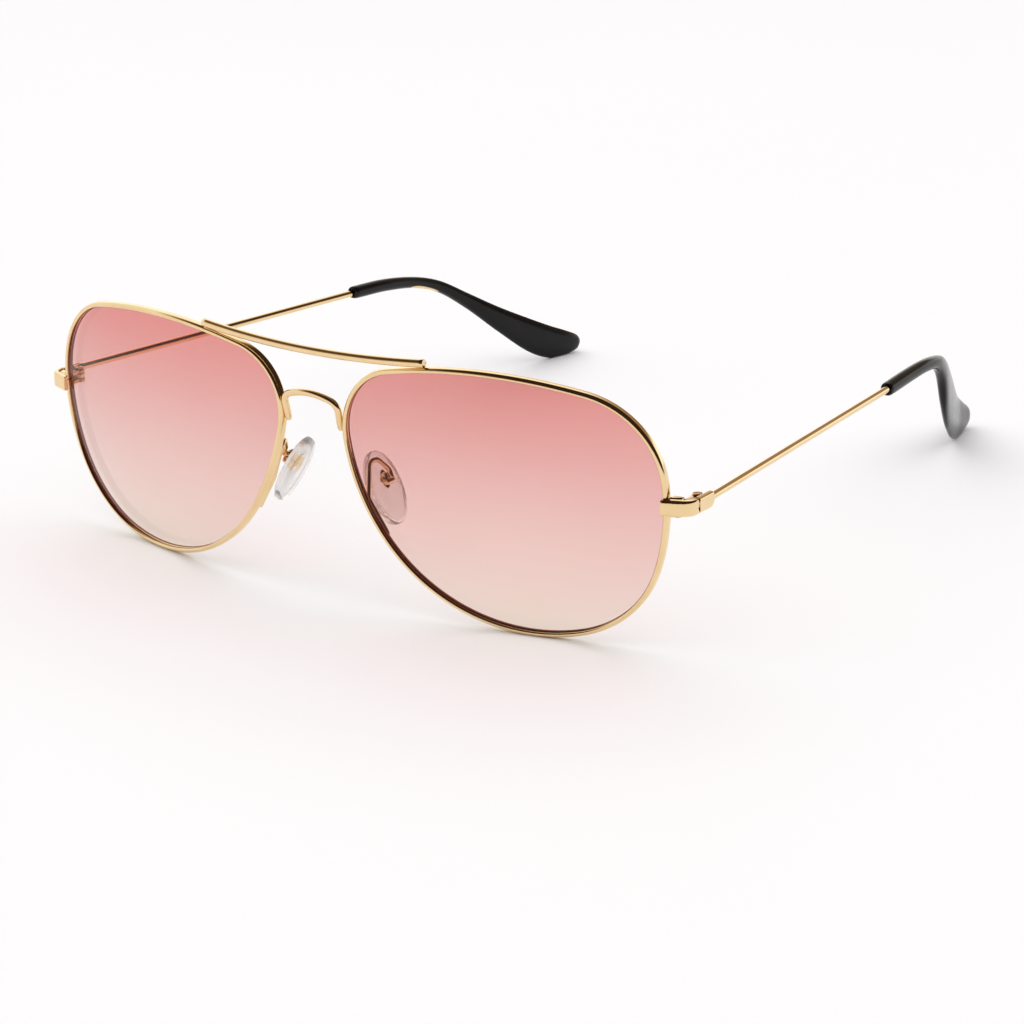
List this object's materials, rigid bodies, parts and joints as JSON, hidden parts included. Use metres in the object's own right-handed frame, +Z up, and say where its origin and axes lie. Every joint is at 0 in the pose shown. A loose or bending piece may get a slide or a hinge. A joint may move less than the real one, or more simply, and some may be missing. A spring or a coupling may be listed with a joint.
{
  "type": "aviator sunglasses",
  "caption": "Wire-framed aviator sunglasses with gradient lenses, brow bar, adjustable nose pads and folding temples.",
  "frame": {"origin": "middle of the outer box of the open sunglasses, on the surface they stand on", "axes": "+X to the wearer's left, +Y back along the temples from the lenses, +Z up"},
  "size_m": [0.1412, 0.1618, 0.0482],
  "materials": {
    "gold_metal": "polished",
    "tinted_lens": "gradient tint, darker at the top",
    "black_plastic": "glossy",
    "clear_silicone": "clear, satin"
  },
  "bodies": {
    "front": {"bridge": "gold_metal", "brow_bar": "gold_metal", "left_rim": "gold_metal", "left_lens": "tinted_lens", "left_endpiece": "gold_metal", "left_rim_lock_lower": "gold_metal", "left_rim_lock_upper": "gold_metal", "left_rim_lock_screw": "gold_metal", "left_front_hinge": "gold_metal", "left_hinge_screw": "gold_metal", "left_pad_arm": "gold_metal", "left_pad_box": "gold_metal", "left_pad_screw": "gold_metal", "right_rim": "gold_metal", "right_lens": "tinted_lens", "right_endpiece": "gold_metal", "right_rim_lock_lower": "gold_metal", "right_rim_lock_upper": "gold_metal", "right_rim_lock_screw": "gold_metal", "right_front_hinge": "gold_metal", "right_hinge_screw": "gold_metal", "right_pad_arm": "gold_metal", "right_pad_box": "gold_metal", "right_pad_screw": "gold_metal"},
    "left_temple": {"left_temple_hinge": "gold_metal", "left_temple_wire": "gold_metal", "left_temple_tip": "black_plastic"},
    "right_temple": {"right_temple_hinge": "gold_metal", "right_temple_wire": "gold_metal", "right_temple_tip": "black_plastic"},
    "left_pad": {"left_nose_pad": "clear_silicone", "left_pad_insert": "gold_metal"},
    "right_pad": {"right_nose_pad": "clear_silicone", "right_pad_insert": "gold_metal"}
  },
  "joints": [
    {"name": "left_temple_fold", "type": "hinge", "parent": "front", "child": "left_temple", "pos_m": [0.0684, -0.06317, 0.02666], "axis": [0, 0, 1], "range_deg": [0, 84]},
    {"name": "right_temple_fold", "type": "hinge", "parent": "front", "child": "right_temple", "pos_m": [-0.0684, -0.06317, 0.02666], "axis": [0, 0, -1], "range_deg": [0, 78]},
    {"name": "left_pad_rock", "type": "hinge", "parent": "front", "child": "left_pad", "pos_m": [0.01085, -0.07223, 0.02293], "axis": [0.1392, 0.9903, 0], "range_deg": [-8, 8]},
    {"name": "right_pad_rock", "type": "hinge", "parent": "front", "child": "right_pad", "pos_m": [-0.01085, -0.07223, 0.02293], "axis": [-0.1392, 0.9903, 0], "range_deg": [-8, 8]}
  ]
}
